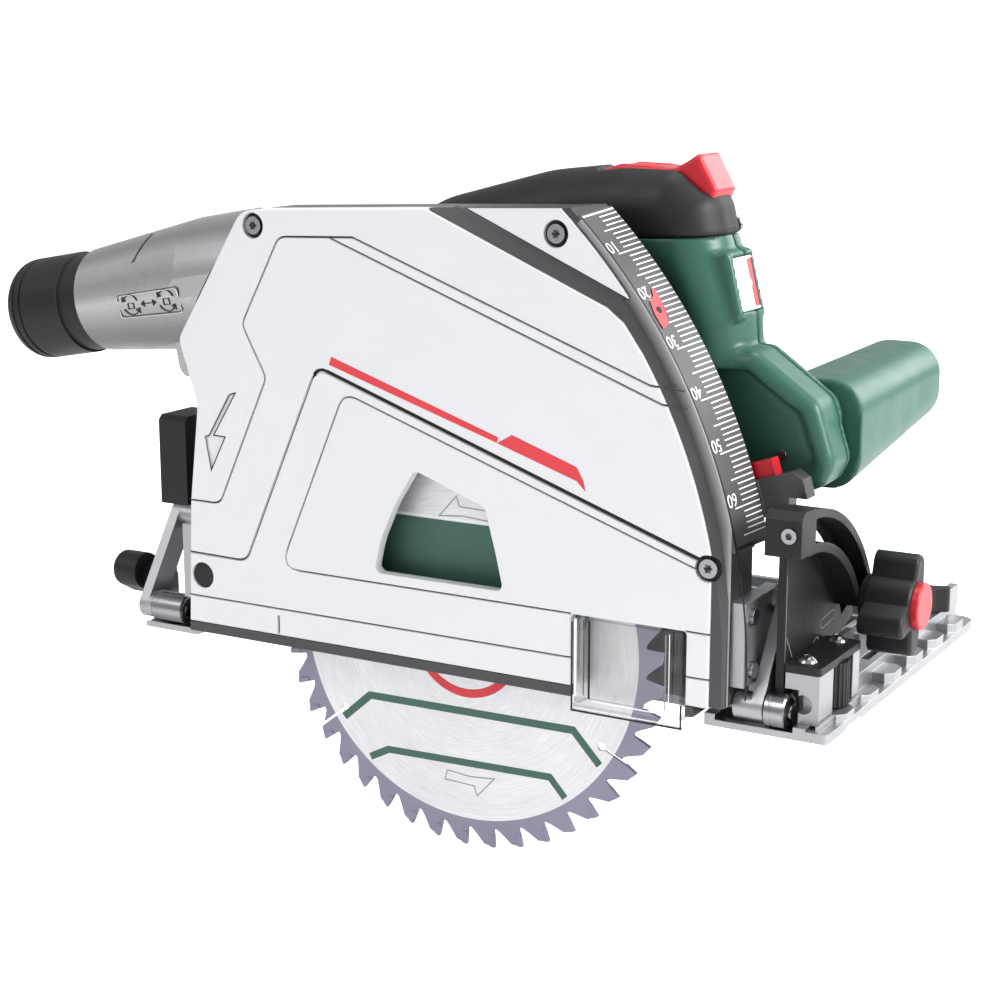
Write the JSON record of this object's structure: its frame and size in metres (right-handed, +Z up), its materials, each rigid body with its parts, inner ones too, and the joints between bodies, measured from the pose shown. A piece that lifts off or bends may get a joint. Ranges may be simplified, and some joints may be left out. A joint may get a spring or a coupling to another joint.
{
  "type": "track plunge saw",
  "caption": "Cordless track plunge saw: guarded blade that plunges on a rear pivot, tilting guard on a grooved sole, D-handle with trigger lock, side handle, dust port and battery",
  "frame": {"origin": "on the sole plane, in the blade plane, below the blade centre of the fully plunged saw", "axes": "+X is the feed direction (front of the saw), +Y points from the blade to the motor, +Z is up"},
  "size_m": [0.378, 0.1776, 0.26],
  "materials": {
    "cover_paint": "light grey moulded panel, satin",
    "housing_paint": "dark grey metallic paint",
    "black_plastic": "fine matt moulded black",
    "green_plastic": "fine matt moulded dark green",
    "red_plastic": "smooth moulded red",
    "cast_metal": "cast light metal, finely blasted",
    "steel": "turned steel",
    "blade_steel": "ground steel disc with printed bands",
    "rubber_grip": "soft black overmould",
    "spout_paint": "silver metallic paint",
    "clear_plastic": "clear moulded plastic",
    "scale_print": "grey strip with white graduation",
    "copper": "enamelled copper wire",
    "laminations": "stacked electrical steel",
    "badge_plate": "plain badge without marks"
  },
  "bodies": {
    "base": {"base_plate": "cast_metal", "front_sector": "black_plastic", "rear_sector": "black_plastic", "base_screws": "steel", "tilt_pins": "steel", "adjuster_block": "cast_metal", "adjuster_cover": "black_plastic"},
    "front_rail_adjuster": {"front_rail_wheel": "black_plastic"},
    "rear_rail_adjuster": {"rear_rail_wheel": "black_plastic"},
    "rear_guide_clamp": {"guide_knob": "black_plastic"},
    "corner_guide_clamp": {"corner_screw": "black_plastic"},
    "guard": {"guard_cover": "cover_paint", "corner_panel": "cover_paint", "guard_housing": "housing_paint", "depth_scale": "scale_print", "guard_screws": "steel", "plunge_pin": "steel", "pivot_plug": "black_plastic", "dust_spout": "spout_paint", "front_tilt_arm": "cast_metal", "rear_tilt_arm": "cast_metal", "clamp_bolts": "steel", "bevel_pointer": "red_plastic", "return_spring": "steel"},
    "dust_connector": {"dust_adapter": "black_plastic"},
    "chip_guard_slide": {"chip_guard": "clear_plastic"},
    "front_clamp": {"front_knob": "black_plastic", "front_knob_cap": "red_plastic"},
    "rear_clamp": {"rear_knob": "black_plastic"},
    "stop_slide": {"depth_stop": "housing_paint"},
    "stop_release": {"depth_stop_button": "red_plastic"},
    "head": {"gear_case": "cast_metal", "motor_housing": "green_plastic", "bearings": "steel", "stator": "laminations", "windings": "copper", "housing_screws": "steel", "handle_near": "green_plastic", "handle_far": "green_plastic", "handle_grip": "rubber_grip", "switch_module": "black_plastic", "control_board": "black_plastic", "handle_badge": "badge_plate", "side_handle": "green_plastic", "battery_mount": "black_plastic"},
    "blade": {"saw_blade": "blade_steel", "inner_flange": "steel", "outer_flange": "steel", "arbor_screw": "steel", "spindle": "steel", "output_gear": "steel"},
    "idler": {"idler_gear": "steel"},
    "rotor": {"rotor_shaft": "steel", "rotor_core": "laminations", "cooling_fan": "black_plastic"},
    "lock_button": {"arbor_lock": "black_plastic"},
    "trigger_lever": {"trigger": "black_plastic"},
    "lock_off_slider": {"lock_off": "red_plastic"},
    "battery": {"battery_pack": "black_plastic"},
    "battery_release": {"battery_latch": "red_plastic"}
  },
  "joints": [
    {"name": "bevel_tilt", "type": "hinge", "parent": "base", "child": "guard", "pos_m": [0, 0, 0.0085], "axis": [1, 0, 0], "range_deg": [0, 46]},
    {"name": "plunge", "type": "hinge", "parent": "guard", "child": "head", "pos_m": [-0.114, 0.02, 0.028], "axis": [0, -1, 0], "range_deg": [0, 36]},
    {"name": "blade_spin", "type": "hinge", "parent": "head", "child": "blade", "pos_m": [0, 0, 0.0165], "axis": [0, -1, 0], "continuous": true},
    {"name": "idler_spin", "type": "hinge", "parent": "head", "child": "idler", "pos_m": [0.00554, 0.02, 0.03467], "axis": [0, -1, 0], "continuous": true},
    {"name": "rotor_spin", "type": "hinge", "parent": "head", "child": "rotor", "pos_m": [-0.008, 0.06, 0.048], "axis": [0, -1, 0], "continuous": true},
    {"name": "front_rail_adjust", "type": "hinge", "parent": "base", "child": "front_rail_adjuster", "pos_m": [0.1343, 0.023, 0.005], "axis": [0, 0, 1], "range_deg": [-90, 90]},
    {"name": "rear_rail_adjust", "type": "hinge", "parent": "base", "child": "rear_rail_adjuster", "pos_m": [-0.1423, 0.023, 0.005], "axis": [0, 0, 1], "range_deg": [-90, 90]},
    {"name": "rear_guide_turn", "type": "hinge", "parent": "base", "child": "rear_guide_clamp", "pos_m": [-0.16, 0.015, 0.0165], "axis": [-1, 0, 0], "range_deg": [-30, 150]},
    {"name": "corner_guide_turn", "type": "hinge", "parent": "base", "child": "corner_guide_clamp", "pos_m": [0.13, 0.141, 0.01], "axis": [0, 0, 1], "range_deg": [-30, 150]},
    {"name": "front_clamp_turn", "type": "hinge", "parent": "guard", "child": "front_clamp", "pos_m": [0.14, 0.057, 0.036], "axis": [1, 0, 0], "range_deg": [0, 120]},
    {"name": "rear_clamp_turn", "type": "hinge", "parent": "guard", "child": "rear_clamp", "pos_m": [-0.158, 0.057, 0.036], "axis": [-1, 0, 0], "range_deg": [0, 120]},
    {"name": "depth_stop_slide", "type": "hinge", "parent": "guard", "child": "stop_slide", "pos_m": [-0.1, 0.016, 0.02], "axis": [0, -1, 0], "range_deg": [0, 27]},
    {"name": "stop_button_press", "type": "slide", "parent": "stop_slide", "child": "stop_release", "axis": [0.3074, 0, -0.9516], "range_m": [0, 0.002]},
    {"name": "chip_guard_move", "type": "slide", "parent": "guard", "child": "chip_guard_slide", "axis": [0, 0, 1], "range_m": [-0.004, 0.001]},
    {"name": "dust_swivel", "type": "hinge", "parent": "guard", "child": "dust_connector", "pos_m": [-0.18039, 0.014, 0.13055], "axis": [-0.9848, 0, -0.1736], "continuous": true},
    {"name": "arbor_lock_press", "type": "slide", "parent": "head", "child": "lock_button", "axis": [-1, 0, 0], "range_m": [0, 0.0018]},
    {"name": "trigger_pull", "type": "hinge", "parent": "head", "child": "trigger_lever", "pos_m": [0.0515, 0.045, 0.1552], "axis": [0, 1, 0], "range_deg": [0, 6]},
    {"name": "lock_off_push", "type": "slide", "parent": "head", "child": "lock_off_slider", "axis": [1, 0, 0], "range_m": [0, 0.0025]},
    {"name": "battery_slide", "type": "slide", "parent": "head", "child": "battery", "axis": [-1, 0, 0], "range_m": [0, 0.07]},
    {"name": "battery_release_press", "type": "slide", "parent": "battery", "child": "battery_release", "axis": [1, 0, 0], "range_m": [0, 0.002]}
  ],
  "couplings": [
    {"joint": "idler_spin", "follows": "blade_spin", "ratio": -1.7143},
    {"joint": "rotor_spin", "follows": "blade_spin", "ratio": 4.8}
  ]
}
